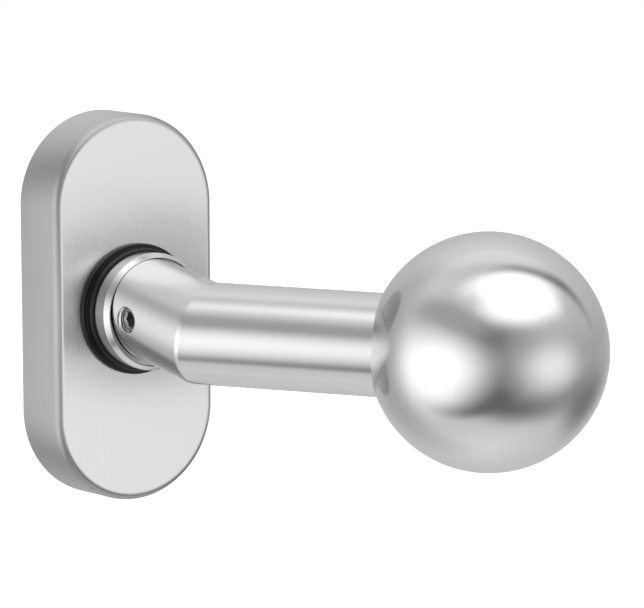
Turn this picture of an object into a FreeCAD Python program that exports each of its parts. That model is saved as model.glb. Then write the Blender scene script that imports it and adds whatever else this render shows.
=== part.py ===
"""Cranked ball door knob on an oval rose for a narrow-frame door.

Frame: millimetres. The origin is where the spindle axis meets the door face, +Z is up along
the rose, +X points to the side that the ball stands on, and the door is on the +Y side.
"out" below is a distance from the door face towards the room, so out = -Y.
"""
import FreeCAD, Part
import math
import os

Vector = FreeCAD.Vector
AWAY_FROM_DOOR = Vector(0, -1, 0)

# ---- driving dimensions -------------------------------------------------------------------
ROSE_HEIGHT = 70.0
ROSE_WIDTH = 33.4
ROSE_DEPTH = 11.8
ROSE_EDGE_RADIUS = 1.4
ROSE_DRAFT = 0.33          # how much narrower the rose is at its front, each side
SHEET = 1.0                # wall of the pressed cover

NECK_RADIUS = 8.9
NECK_STANDOFF = 8.3        # from the rose face to where the neck's axis leaves the spindle axis
NECK_SIDE_LEAN = 8.7       # degrees towards +X
NECK_DOWN_LEAN = 12.7      # degrees downwards
NECK_LENGTH = 11.45        # from the spindle axis to the mitre, along the leaning neck
ARM_ANGLE = 40.0           # degrees between the arm and the spindle axis
ARM_DROP = 2.95            # degrees below level
ARM_LENGTH = 49.7          # from the mitre to the ball's centre

BALL_RADIUS = 20.35
BALL_WALL = 2.4
ARM_INTO_BALL = 2.4        # from the ball's outer radius in to the arm's end

SPINDLE_SIZE = 8.0         # square spindle of the lock, across flats
SOCKET_TURN = 3.0          # degrees the square socket is turned, lower side towards -X
FIXING_CENTRES = 50.0      # the two M5 fixing screws, one above the other
KNOB_TRAVEL = 35.0         # degrees each way

RUNNING = 0.05             # radial clearance of a running fit
SEATED = 0.02              # radial clearance of parts assembled for good

# ---- positions along the spindle axis ------------------------------------------------------
BACK_PLATE = 1.2
JOURNAL_END = 1.6
RING_BACK = 2.05
RING_THICKNESS = 1.0
WAVE_BACK = RING_BACK + RING_THICKNESS
WAVE_HEIGHT = 0.6
DRIVER_BACK = WAVE_BACK + WAVE_HEIGHT
DRIVER_THICKNESS = 2.3
DRIVER_FRONT = DRIVER_BACK + DRIVER_THICKNESS
CHAMBER_FRONT = 6.6
WASHER_THICKNESS = 0.6
BEARING_SEAT = 9.6
BASE_FRONT = 10.2
COVER_INSIDE = ROSE_DEPTH - SHEET
COLLAR_BACK = 10.6
COLLAR_RIM_BACK = ROSE_DEPTH + 2.7
COLLAR_FRONT = ROSE_DEPTH + 6.8
COLLAR_CHAMFER = 1.0
SOCKET_DEPTH = 24.5
GRUB_OUT = 22.0

# ---- radii ------------------------------------------------------------------------------
JOURNAL = 7.0
JOURNAL_FLAT = 6.1
GROOVE = 6.4
BEARING_OUTER = 8.6
BEARING_FLANGE = 9.9
COLLAR = 10.0
COLLAR_RIM = 10.45
COLLAR_NOSE = 9.65
BUSH_FLANGE = 11.7
BUSH_LIP = 10.95
BUSH_BORE = COLLAR + RUNNING
BUSH_BARREL = 10.6
CHAMBER = 12.5
DRIVER_HUB = 8.9
LUG_TIP = 13.0
TAB_TIP = 11.8
LUG_HALF_WIDTH = 2.0
STOP_CIRCLE = 10.5
STOP_PIN = 1.25
THREAD_M5 = 2.5
THREAD_M6 = 3.0
THREAD_M10 = 5.0

# ---- base plate and springs ---------------------------------------------------------------
BASE_HALF_WIDTH = 15.0
BASE_HALF_HEIGHT = 33.3
SPRING_DROP = 11.2         # below the spindle axis
SPRING_OUT = 4.85
SPRING_MEAN = 1.4
SPRING_WIRE = 0.3          # radius of the wire
SPRING_TURNS = 7
SPRING_WALL = 13.2         # half-width of the spring channel
CHANNEL_TOP = -6.0
CHANNEL_BOTTOM = -14.0
PLATE_SCREW_X = 9.5
PLATE_SCREW_Z = 18.0
CLIP_WIDTH = 5.0
CLIP_SEAT = 31.6           # the pocket's floor, above and below the spindle axis
CLIP_THICKNESS = 0.45
CLIP_CROWN = 33.6


def at(x, out, z):
    """A point from its distance to the right, out of the door and up."""
    return Vector(x, -out, z)


def unit(vector):
    result = Vector(vector)
    result.normalize()
    return result


side = math.radians(NECK_SIDE_LEAN)
down = math.radians(NECK_DOWN_LEAN)
turn = math.radians(ARM_ANGLE)
drop = math.radians(ARM_DROP)
NECK_DIRECTION = Vector(math.sin(side) * math.cos(down), -math.cos(side) * math.cos(down), -math.sin(down))
ARM_DIRECTION = Vector(math.sin(turn) * math.cos(drop), -math.cos(turn), -math.sin(turn) * math.sin(drop))
KNEE = at(0, ROSE_DEPTH + NECK_STANDOFF, 0)
MITRE = KNEE + NECK_DIRECTION * NECK_LENGTH
BALL_CENTRE = MITRE + ARM_DIRECTION * ARM_LENGTH
ARM_END = BALL_RADIUS - ARM_INTO_BALL
GRUB_DIRECTION = Vector(-math.cos(math.radians(SOCKET_TURN)), 0, -math.sin(math.radians(SOCKET_TURN)))


# ---- small building blocks ----------------------------------------------------------------
def disc(radius, back, front, x=0.0, z=0.0):
    """A cylinder along the spindle direction, between two distances from the door face."""
    return Part.makeCylinder(radius, front - back, at(x, back, z), AWAY_FROM_DOOR)


def ring(outer, inner, back, front):
    return disc(outer, back, front).cut(disc(inner, back - 1, front + 1))


def cone(back_radius, front_radius, back, front, x=0.0, z=0.0):
    return Part.makeCone(back_radius, front_radius, front - back, at(x, back, z), AWAY_FROM_DOOR)


def block(x_low, x_high, back, front, z_low, z_high):
    corner = Vector(x_low, -front, z_low)
    return Part.makeBox(x_high - x_low, front - back, z_high - z_low, corner)


def bar(radius, start, direction, length):
    return Part.makeCylinder(radius, length, start, direction)


def hexagon(across_flats, start, direction, depth):
    """A hexagonal prism for a key recess."""
    direction = unit(direction)
    across = unit(direction.cross(Vector(0.3, 0.2, 1)))
    up = direction.cross(across)
    corners = []
    for i in range(7):
        angle = math.radians(60 * i)
        spoke = across * math.cos(angle) + up * math.sin(angle)
        corners.append(start + spoke * (across_flats / math.sqrt(3)))
    return Part.Face(Part.makePolygon(corners)).extrude(direction * depth)


def stadium_wire(half_width, half_height, out):
    """Two upright sides joined by two half circles."""
    straight = half_height - half_width
    top_left = at(-half_width, out, straight)
    top_right = at(half_width, out, straight)
    low_left = at(-half_width, out, -straight)
    low_right = at(half_width, out, -straight)
    edges = [
        Part.Arc(top_left, at(0, out, half_height), top_right).toShape(),
        Part.LineSegment(top_right, low_right).toShape(),
        Part.Arc(low_right, at(0, out, -half_height), low_left).toShape(),
        Part.LineSegment(low_left, top_left).toShape(),
    ]
    return Part.Wire(edges)


def stadium(half_width, half_height, back, front, draft=0.0):
    """A solid of stadium outline that narrows by draft on each side towards its front."""
    low = stadium_wire(half_width, half_height, back)
    high = stadium_wire(half_width - draft, half_height - draft, front)
    return Part.makeLoft([low, high], True, True)


def edges_at(solid, out, beyond=0.0):
    """Edges that lie in one plane of constant out, and reach at least beyond from the axis."""
    found = []
    for edge in solid.Edges:
        box = edge.BoundBox
        flat = abs(box.YMin + out) < 1e-4 and abs(box.YMax + out) < 1e-4
        reach = max(abs(box.XMax), abs(box.ZMax), abs(box.XMin), abs(box.ZMin))
        if flat and reach > beyond:
            found.append(edge)
    return found


def square_bar(size, back, front):
    """A square bar on the spindle axis, turned with the grub screw."""
    half = size / 2
    shape = block(-half, half, back, front, -half, half)
    shape.rotate(Vector(0, 0, 0), Vector(0, 1, 0), -SOCKET_TURN)
    return shape


def countersunk_screw(x, z, head, thread, shank, heights):
    """A countersunk screw along the spindle direction: tip, end of thread, cone, head."""
    tip, thread_end, cone_back, cone_front = heights
    screw = disc(thread, tip, thread_end, x, z)
    screw = screw.fuse(disc(shank, thread_end, cone_back, x, z))
    return screw.fuse(cone(shank, head, cone_back, cone_front, x, z))


# ---- rose: cover and what it hides --------------------------------------------------------
def make_rose_cover():
    half_width = ROSE_WIDTH / 2
    half_height = ROSE_HEIGHT / 2
    outside = stadium(half_width, half_height, 0, ROSE_DEPTH, ROSE_DRAFT)
    outside = outside.makeFillet(ROSE_EDGE_RADIUS, edges_at(outside, ROSE_DEPTH))
    inner_draft = ROSE_DRAFT * COVER_INSIDE / ROSE_DEPTH
    inside = stadium(half_width - SHEET, half_height - SHEET, 0, COVER_INSIDE, inner_draft)
    inside = inside.makeFillet(ROSE_EDGE_RADIUS - SHEET, edges_at(inside, COVER_INSIDE))
    hole = disc(BUSH_BARREL + SEATED, COVER_INSIDE - 1, ROSE_DEPTH + 1)
    return outside.cut(inside).cut(hole)


def make_bearing_bush():
    low_step = disc(BUSH_FLANGE, ROSE_DEPTH, ROSE_DEPTH + 0.9)
    low_step = low_step.makeFillet(0.3, edges_at(low_step, ROSE_DEPTH + 0.9))
    lip_front = ROSE_DEPTH + 2.6
    lip = disc(BUSH_LIP, ROSE_DEPTH, lip_front)
    lip = lip.makeFillet(0.35, edges_at(lip, lip_front))
    barrel = disc(BUSH_BARREL, BEARING_SEAT + 0.2, ROSE_DEPTH)
    snap_bead = cone(BUSH_BARREL, BUSH_BARREL + 0.35, BEARING_SEAT + 0.2, COVER_INSIDE - 0.05)
    bush = low_step.fuse([lip, barrel, snap_bead])
    return bush.cut(disc(BUSH_BORE, 0, 30)).removeSplitter()


def make_back_plate():
    plate = stadium(BASE_HALF_WIDTH, BASE_HALF_HEIGHT, 0, BACK_PLATE)
    cutters = [disc(6.2, -1, 3)]
    for sign in (1, -1):
        cutters.append(disc(THREAD_M5 + 0.2, -1, 3, 0, sign * FIXING_CENTRES / 2))
    for x, z in plate_screw_places():
        cutters.append(cone(2.35, 1.35, 0, 1.0, x, z))
        cutters.append(disc(1.35, 0, 3, x, z))
    return plate.cut(cutters)


def plate_screw_places():
    places = []
    for x in (-PLATE_SCREW_X, PLATE_SCREW_X):
        for z in (-PLATE_SCREW_Z, PLATE_SCREW_Z):
            places.append((x, z))
    return places


def stop_pin_places():
    """The driver's upper tab meets a pin at each end of the travel."""
    tab_angle = math.asin(LUG_HALF_WIDTH / STOP_CIRCLE)
    pin_angle = math.asin(STOP_PIN / STOP_CIRCLE)
    spare = 0.35 / STOP_CIRCLE
    angle = math.radians(KNOB_TRAVEL) + tab_angle + pin_angle + spare
    x = STOP_CIRCLE * math.sin(angle)
    z = STOP_CIRCLE * math.cos(angle)
    return [(-x, z), (x, z)]


def clip_slot(sign):
    """The pocket in the end of the base that a cover clip sits in."""
    half_width = CLIP_WIDTH / 2 + 0.1
    depth = 3.0
    low = CLIP_SEAT if sign > 0 else -CLIP_SEAT - depth
    return block(-half_width, half_width, BACK_PLATE, 9.3, low, low + depth)


def make_base_plate():
    base = stadium(BASE_HALF_WIDTH, BASE_HALF_HEIGHT, BACK_PLATE, BASE_FRONT)
    base = base.makeFillet(0.8, edges_at(base, BASE_FRONT))
    cutters = [
        disc(CHAMBER, BACK_PLATE - 1, CHAMBER_FRONT),
        block(-SPRING_WALL, SPRING_WALL, BACK_PLATE - 1, CHAMBER_FRONT, CHANNEL_BOTTOM, CHANNEL_TOP),
        disc(BEARING_OUTER + SEATED, CHAMBER_FRONT - 1, BASE_FRONT + 1),
        disc(11.4, BEARING_SEAT, BASE_FRONT + 1),
    ]
    for sign in (1, -1):
        z = sign * FIXING_CENTRES / 2
        cutters.append(disc(THREAD_M5 + 0.2, 0, BASE_FRONT + 1, 0, z))
        cutters.append(cone(2.5, 5.1, 7.5, BASE_FRONT + 0.1, 0, z))
        cutters.append(clip_slot(sign))
    for x, z in plate_screw_places():
        cutters.append(disc(1.27, 0, 6.2, x, z))
    for x, z in stop_pin_places():
        cutters.append(disc(STOP_PIN + SEATED, 5, 9.0, x, z))
    return base.cut(cutters)


def make_journal_bearing():
    sleeve = disc(BEARING_OUTER, CHAMBER_FRONT, BEARING_SEAT)
    flange = disc(BEARING_FLANGE, BEARING_SEAT, BEARING_SEAT + 0.8)
    return sleeve.fuse(flange).cut(disc(JOURNAL + RUNNING, 0, 20)).removeSplitter()


def make_thrust_washer():
    return ring(9.0, JOURNAL + 0.15, CHAMBER_FRONT - WASHER_THICKNESS, CHAMBER_FRONT)


def make_stop_pins():
    pins = [disc(STOP_PIN, DRIVER_BACK, 8.9, x, z) for x, z in stop_pin_places()]
    return Part.makeCompound(pins)


def make_return_spring(sign):
    """A compression spring between the driver's lug and the wall of the channel."""
    start = LUG_HALF_WIDTH + SPRING_WIRE + 0.1
    length = SPRING_WALL - SPRING_WIRE - 0.05 - start
    helix = Part.makeHelix(length / SPRING_TURNS, length, SPRING_MEAN)
    wire = Part.Wire(helix.Edges)
    first = wire.Edges[0]
    tangent = first.tangentAt(first.FirstParameter)
    section = Part.Wire(Part.makeCircle(SPRING_WIRE, first.valueAt(first.FirstParameter), tangent))
    coil = wire.makePipeShell([section], True, True)
    coil.rotate(Vector(0, 0, 0), Vector(0, 1, 0), sign * 90)
    coil.translate(at(sign * start, SPRING_OUT, -SPRING_DROP))
    return coil


def make_back_plate_screws():
    screws = []
    for x, z in plate_screw_places():
        shank = disc(1.25, 0.9, 5.8, x, z)
        head = cone(2.3, 1.25, 0.05, 1.0, x, z)
        cross = block(x - 1.5, x + 1.5, -1, 0.7, z - 0.25, z + 0.25)
        cross = cross.fuse(block(x - 0.25, x + 0.25, -1, 0.7, z - 1.5, z + 1.5))
        screws.append(shank.fuse(head).cut(cross))
    return Part.makeCompound(screws)


def make_fixing_screws():
    screws = []
    for sign in (1, -1):
        z = sign * FIXING_CENTRES / 2
        screw = countersunk_screw(0, z, 4.6, THREAD_M5, 2.3, (-12.0, 0.0, 7.75, 9.95))
        recess = hexagon(3.0, at(0, 8.2, z), AWAY_FROM_DOOR, 4)
        tip = cone(1.9, THREAD_M5, -12.6, -12.0, 0, z)
        screws.append(screw.fuse(tip).cut(recess).removeSplitter())
    return Part.makeCompound(screws)


def make_cover_clip(sign):
    """A bowed leaf spring that presses on one end wall of the cover."""
    low = CLIP_SEAT + 0.05
    high = low + CLIP_THICKNESS
    crown = CLIP_CROWN
    profile = [
        (low, 1.3), (high, 1.3), (high, 2.2),
        (crown, 5.3),
        (high, 8.4), (high, 9.2), (low, 9.2), (low, 8.4),
        (crown - CLIP_THICKNESS, 5.3),
        (low, 2.2),
    ]
    points = [Vector(-CLIP_WIDTH / 2, -out, sign * z) for z, out in profile]
    edges = [
        Part.makePolygon(points[0:3]).Edges,
        [Part.Arc(points[2], points[3], points[4]).toShape()],
        Part.makePolygon(points[4:8]).Edges,
        [Part.Arc(points[7], points[8], points[9]).toShape()],
        Part.makePolygon([points[9], points[0]]).Edges,
    ]
    outline = Part.Wire([edge for group in edges for edge in group])
    return Part.Face(outline).extrude(Vector(CLIP_WIDTH, 0, 0))


def make_cover_clips():
    return Part.makeCompound([make_cover_clip(sign) for sign in (1, -1)])


# ---- knob: everything that turns ----------------------------------------------------------
def make_driver_plate():
    hub = disc(DRIVER_HUB, DRIVER_BACK, DRIVER_FRONT)
    lug = block(-LUG_HALF_WIDTH, LUG_HALF_WIDTH, DRIVER_BACK, DRIVER_FRONT, -LUG_TIP, 0)
    tab = block(-LUG_HALF_WIDTH, LUG_HALF_WIDTH, DRIVER_BACK, DRIVER_FRONT, 0, TAB_TIP)
    bore = journal_section(JOURNAL + SEATED, JOURNAL_FLAT + SEATED, DRIVER_BACK - 1, DRIVER_FRONT + 1)
    return hub.fuse([lug, tab]).cut(bore).removeSplitter()


def journal_section(radius, flat, back, front):
    """The journal's round section with its two upright flats."""
    return disc(radius, back, front).common(block(-flat, flat, back, front, -radius, radius))


def make_retaining_ring():
    band = ring(9.0, GROOVE + SEATED, RING_BACK, RING_BACK + RING_THICKNESS)
    gap = block(-2.2, 2.2, 0, 5, 5.0, 12.0)
    band = band.cut(gap)
    ears = []
    for sign in (1, -1):
        ear = disc(1.5, RING_BACK, RING_BACK + RING_THICKNESS, sign * 3.6, 8.6)
        ears.append(ear)
    band = band.fuse(ears)
    holes = [disc(0.6, 0, 5, sign * 3.6, 8.8) for sign in (1, -1)]
    band = band.cut(holes + [disc(GROOVE + SEATED, 0, 5)])
    return band.cut(gap).removeSplitter()


def make_wave_washer():
    """A thin spring washer with three waves."""
    thickness = 0.25
    amplitude = (WAVE_HEIGHT - thickness) / 2
    middle = WAVE_BACK + amplitude
    edges = []
    for radius in (7.2, 8.8):
        points = []
        for i in range(36):
            angle = math.radians(10 * i)
            out = middle + amplitude * math.cos(3 * angle)
            points.append(at(radius * math.cos(angle), out, radius * math.sin(angle)))
        curve = Part.BSplineCurve()
        curve.interpolate(points, PeriodicFlag=True)
        edges.append(curve.toShape())
    surface = Part.makeRuledSurface(edges[0], edges[1])
    return surface.extrude(AWAY_FROM_DOOR * thickness)


def make_bearing_collar():
    """The part that runs in the bush, and a chamfered rim in front of it."""
    barrel = disc(COLLAR, COLLAR_BACK, COLLAR_RIM_BACK)
    rim = disc(COLLAR_RIM, COLLAR_RIM_BACK, COLLAR_FRONT - COLLAR_CHAMFER)
    nose = cone(COLLAR_RIM, COLLAR_NOSE, COLLAR_FRONT - COLLAR_CHAMFER, COLLAR_FRONT)
    collar = barrel.fuse([rim, nose]).removeSplitter()
    return collar.cut(disc(JOURNAL + SEATED, 0, 30))


def mitre_block():
    """A block that keeps everything on the neck's side of the mitre plane."""
    normal = unit(NECK_DIRECTION + ARM_DIRECTION)
    size = 80.0
    plane = Part.makePlane(size, size, Vector(-size / 2, -size / 2, 0))
    plane.Placement = FreeCAD.Placement(MITRE, FreeCAD.Rotation(Vector(0, 0, 1), normal))
    return plane.extrude(normal * -size)


def grub_start():
    return at(0, GRUB_OUT, 0)


def make_neck():
    stub = bar(NECK_RADIUS, KNEE - NECK_DIRECTION * 20, NECK_DIRECTION, 60)
    stub = stub.common(mitre_block())
    stub = stub.common(block(-40, 40, COLLAR_FRONT, 80, -40, 40))
    round_part = disc(JOURNAL, DRIVER_FRONT, COLLAR_FRONT + 0.5)
    flat_part = journal_section(JOURNAL, JOURNAL_FLAT, JOURNAL_END, DRIVER_FRONT)
    neck = stub.fuse([round_part, flat_part])
    groove = ring(20, GROOVE, RING_BACK - 0.05, RING_BACK + RING_THICKNESS + 0.05)
    socket = square_bar(SPINDLE_SIZE + 0.1, 0, SOCKET_DEPTH)
    tapping = bar(THREAD_M5 + SEATED, grub_start(), GRUB_DIRECTION, 20)
    return neck.cut([groove, socket, tapping]).removeSplitter()


def make_grub_screw():
    """A flat-point set screw that just reaches the square spindle."""
    start = grub_start() + GRUB_DIRECTION * (SPINDLE_SIZE / 2 + 0.05)
    body = bar(THREAD_M5, start, GRUB_DIRECTION, 3.9)
    recess = hexagon(2.5, start + GRUB_DIRECTION * 1.6, GRUB_DIRECTION, 5)
    return body.cut(recess)


def make_arm():
    length = ARM_LENGTH - ARM_END
    blank = bar(NECK_RADIUS, MITRE - ARM_DIRECTION * 30, ARM_DIRECTION, length + 30)
    blank = blank.cut(mitre_block())
    hole = bar(THREAD_M10 + SEATED, MITRE + ARM_DIRECTION * (length - 14), ARM_DIRECTION, 20)
    return blank.cut(hole)


def make_ball():
    shell = Part.makeSphere(BALL_RADIUS, BALL_CENTRE)
    cavity = Part.makeSphere(BALL_RADIUS - BALL_WALL, BALL_CENTRE)
    opening = bar(NECK_RADIUS + SEATED, BALL_CENTRE, ARM_DIRECTION * -1, BALL_RADIUS + 5)
    return shell.cut([cavity, opening])


def make_ball_insert():
    """The tapped plug that is welded inside the ball's opening."""
    face = BALL_CENTRE - ARM_DIRECTION * ARM_END
    collar = bar(NECK_RADIUS, face, ARM_DIRECTION, 4.0)
    body = bar(7.5, face, ARM_DIRECTION, 12.0)
    hole = bar(THREAD_M10 + SEATED, face - ARM_DIRECTION, ARM_DIRECTION, 15.0)
    return collar.fuse(body).cut(hole).removeSplitter()


def make_ball_stud():
    face = BALL_CENTRE - ARM_DIRECTION * ARM_END
    stud = bar(THREAD_M10, face - ARM_DIRECTION * 13, ARM_DIRECTION, 24)
    return stud.cut(hexagon(5.0, face + ARM_DIRECTION * 6, ARM_DIRECTION, 10))


PARTS = {
    "rose_cover": make_rose_cover,
    "bearing_bush": make_bearing_bush,
    "base_plate": make_base_plate,
    "back_plate": make_back_plate,
    "back_plate_screws": make_back_plate_screws,
    "fixing_screws": make_fixing_screws,
    "cover_clips": make_cover_clips,
    "journal_bearing": make_journal_bearing,
    "thrust_washer": make_thrust_washer,
    "stop_pins": make_stop_pins,
    "return_spring_left": lambda: make_return_spring(-1),
    "return_spring_right": lambda: make_return_spring(1),
    "driver_plate": make_driver_plate,
    "wave_washer": make_wave_washer,
    "retaining_ring": make_retaining_ring,
    "bearing_collar": make_bearing_collar,
    "neck": make_neck,
    "grub_screw": make_grub_screw,
    "arm": make_arm,
    "ball": make_ball,
    "ball_insert": make_ball_insert,
    "ball_stud": make_ball_stud,
}

os.makedirs("parts", exist_ok=True)
for name, make in PARTS.items():
    shape = make()
    if not shape.isValid():
        raise ValueError(name + " is not a valid shape")
    shape.exportStep("parts/" + name + ".step")
    print(name, "solids", len(shape.Solids), "volume", round(shape.Volume, 1))
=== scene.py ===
"""Looks of the cranked ball door knob: detailed pieces, finishes, floor, light and camera.

Frame: metres. The origin is where the spindle axis meets the door face, +Z is up along the
rose, +X points to the side that the ball stands on, and the door is on the +Y side.
Lengths in the code are written in millimetres and multiplied by MM.
"""
import math

import bmesh
import bpy
import numpy as np
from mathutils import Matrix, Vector
from mathutils.bvhtree import BVHTree


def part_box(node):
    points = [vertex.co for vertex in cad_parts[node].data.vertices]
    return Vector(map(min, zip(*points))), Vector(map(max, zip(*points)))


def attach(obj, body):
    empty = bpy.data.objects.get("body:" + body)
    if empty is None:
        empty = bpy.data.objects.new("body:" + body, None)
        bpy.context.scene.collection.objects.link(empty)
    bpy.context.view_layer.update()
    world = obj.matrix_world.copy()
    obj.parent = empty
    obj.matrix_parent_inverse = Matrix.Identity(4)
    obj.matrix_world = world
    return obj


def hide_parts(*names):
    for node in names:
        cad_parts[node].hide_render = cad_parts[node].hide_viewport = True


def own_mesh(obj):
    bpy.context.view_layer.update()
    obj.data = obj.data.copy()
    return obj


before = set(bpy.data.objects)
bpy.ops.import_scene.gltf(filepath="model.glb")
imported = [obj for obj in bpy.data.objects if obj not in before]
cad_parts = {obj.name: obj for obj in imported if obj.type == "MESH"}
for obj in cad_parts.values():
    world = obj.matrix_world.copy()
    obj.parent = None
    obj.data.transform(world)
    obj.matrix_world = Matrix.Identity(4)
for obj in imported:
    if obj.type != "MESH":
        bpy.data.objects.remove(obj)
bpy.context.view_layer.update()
MM = 0.001
COLUMNS = 288              # points round a visible turned piece
GRAIN_RADIUS = 9.0         # radius that the brushing of a turned piece is scaled for


# ---- dimensions shared with the CAD model ----------------------------------------------------
def extent(node):
    """A CAD node's lowest and highest corner, in millimetres."""
    low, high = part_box(node)
    return np.array(low) / MM, np.array(high) / MM


cover_low, cover_high = extent("rose_cover")
collar_low, collar_high = extent("bearing_collar")
neck_high = extent("neck")[1]
ball_low, ball_high = extent("ball")

ROSE_HALF_WIDTH = cover_high[0]
ROSE_HALF_HEIGHT = cover_high[2]
ROSE_DEPTH = -cover_low[1]
ROSE_EDGE_RADIUS = 1.4
ROSE_DRAFT = 0.33          # how far the cover's wall leans in over its depth
COVER_HOLE = 10.62
SHEET = 1.0
BUSH_BORE = 10.05
BUSH_SLEEVE = 10.6
BUSH_NOSE = 10.95
BUSH_FLANGE = 11.7
BUSH_FLANGE_DEPTH = 0.9
BUSH_STANDS_OUT = 2.6
NECK_RADIUS = 8.9
JOURNAL = 7.0
JOURNAL_FLAT = 6.1         # half the distance across the journal's flats
FLATS_FRONT = 5.95
GROOVE = 6.4
GROOVE_FRONT = 3.1
GROOVE_BACK = 2.0
JOURNAL_END = -neck_high[1]
JOURNAL_CHAMFER = 0.3
COLLAR = 10.0
COLLAR_RIM = collar_high[0]
COLLAR_RIM_BACK = ROSE_DEPTH + 2.7
COLLAR_CHAMFER = 1.0
COLLAR_NOSE = 9.65
COLLAR_BACK = -collar_high[1]
COLLAR_FRONT = -collar_low[1]
BALL_CENTRE = (ball_low + ball_high) / 2
BALL_RADIUS = (ball_high[2] - ball_low[2]) / 2
BALL_WALL = 2.4
ARM_INTO_BALL = 2.4
ARM_LENGTH = 49.7          # from the mitre to the ball's centre
ARM_CHAMFER = 0.3
ARM_HOLE = 0.5578          # radius of the tapped hole in the arm's end, over the arm's
ARM_HOLE_DEPTH = 14.0
SOCKET_HALF = 4.05
SOCKET_CHAMFER = 0.35
SOCKET_TURN = math.radians(3.0)
SOCKET_DEPTH = 24.5
GRUB_OUT = 22.0            # distance of the set screw's axis from the door
SET_SCREW_PITCH = 0.8
SET_SCREW_THREAD = 0.42    # depth of its thread
MITRE_BLEND = 0.5          # how far the rounding of the mitre reaches along neck and arm
CLEARANCE = 0.02           # between two pieces that touch in the CAD model
BALL_OPENING = NECK_RADIUS + CLEARANCE
OUT = np.array([0.0, -1.0, 0.0])


def direction(side, down):
    """A direction out of the door that leans towards +X and downwards, in degrees."""
    side = math.radians(side)
    down = math.radians(down)
    flat = math.cos(down)
    return np.array([math.sin(side) * flat, -math.cos(side) * flat, -math.sin(down)])


def unit(vector):
    """The vector at length 1."""
    return np.asarray(vector, float) / np.linalg.norm(vector)


ARM_TURN = math.radians(40.0)
ARM_DROP = math.radians(2.95)
NECK_DIRECTION = unit(direction(8.7, 12.7))
ARM_DIRECTION = unit([
    math.sin(ARM_TURN) * math.cos(ARM_DROP),
    -math.cos(ARM_TURN),
    -math.sin(ARM_TURN) * math.sin(ARM_DROP),
])
MITRE = BALL_CENTRE - ARM_DIRECTION * ARM_LENGTH
GRUB_DIRECTION = np.array([-math.cos(SOCKET_TURN), 0.0, -math.sin(SOCKET_TURN)])


# ---- mesh tools ------------------------------------------------------------------------------
def make_mesh(name, vertices, faces, corner_uv, crease=30.0):
    """An object from vertices in millimetres, with one texture coordinate for each corner."""
    mesh = bpy.data.meshes.new(name)
    mesh.from_pydata((np.asarray(vertices) * MM).tolist(), [], faces)
    layer = mesh.uv_layers.new(name="grain")
    layer.data.foreach_set("uv", np.asarray(corner_uv, np.float32).ravel())
    work = bmesh.new()
    work.from_mesh(mesh)
    bmesh.ops.remove_doubles(work, verts=work.verts, dist=2e-8)
    bmesh.ops.recalc_face_normals(work, faces=work.faces)
    work.to_mesh(mesh)
    work.free()
    mesh.shade_smooth()
    mesh.set_sharp_from_angle(angle=math.radians(crease))
    item = bpy.data.objects.new(name, mesh)
    bpy.context.scene.collection.objects.link(item)
    return item


def skin(name, rows, uv, start=None, end=None, crease=30.0):
    """A surface through closed rows of points. start and end are points that close it.

    uv holds a lower and an upper coordinate for each strip between two rows, with one more
    column than the rows have points."""
    rows = np.asarray(rows, float)
    count, columns, _ = rows.shape
    index = np.arange(count * columns).reshape(count, columns)
    right = np.roll(index, -1, axis=1)
    quads = np.stack([index[:-1], right[:-1], right[1:], index[1:]], -1).reshape(-1, 4)
    corners = np.stack([uv[:, 0, :-1], uv[:, 0, 1:], uv[:, 1, 1:], uv[:, 1, :-1]], -2)
    faces = quads.tolist()
    corner_uv = [corners.reshape(-1, 2)]
    vertices = [rows.reshape(-1, 3)]
    extra = count * columns
    for row, strip, edge, centre in ((0, 0, 0, start), (-1, -1, 1, end)):
        if centre is None:
            continue
        vertices.append(np.asarray(centre, float).reshape(1, 3))
        faces.extend(np.stack([index[row], right[row], np.full(columns, extra)], -1).tolist())
        rim = uv[strip, edge]
        middle = (rim[:-1] + rim[1:]) / 2
        corner_uv.append(np.stack([rim[:-1], rim[1:], middle + [3.0, 0.0]], 1).reshape(-1, 2))
        extra += 1
    return make_mesh(name, np.concatenate(vertices), faces, np.concatenate(corner_uv), crease)


def column_strips(rows, around):
    """Coordinates for rows of points: millimetres along each column, and the turns given."""
    steps = np.linalg.norm(np.diff(rows, axis=0), axis=2)
    lengths = np.vstack([np.zeros(rows.shape[1]), np.cumsum(steps, axis=0)])
    lengths = np.hstack([lengths, lengths[:, :1]])
    uv = np.zeros((len(rows) - 1, 2, len(around), 2))
    uv[:, 0, :, 0] = lengths[:-1]
    uv[:, 1, :, 0] = lengths[1:]
    uv[:, :, :, 1] = around
    return uv


def strips(lengths, columns):
    """Coordinates for a turned surface: millimetres along the profile, and turns around it."""
    uv = np.zeros((len(lengths) - 1, 2, columns + 1, 2))
    uv[:, 0, :, 0] = np.reshape(lengths[:-1], (-1, 1))
    uv[:, 1, :, 0] = np.reshape(lengths[1:], (-1, 1))
    uv[:, :, :, 1] = np.linspace(0, 1, columns + 1)
    return uv


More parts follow.
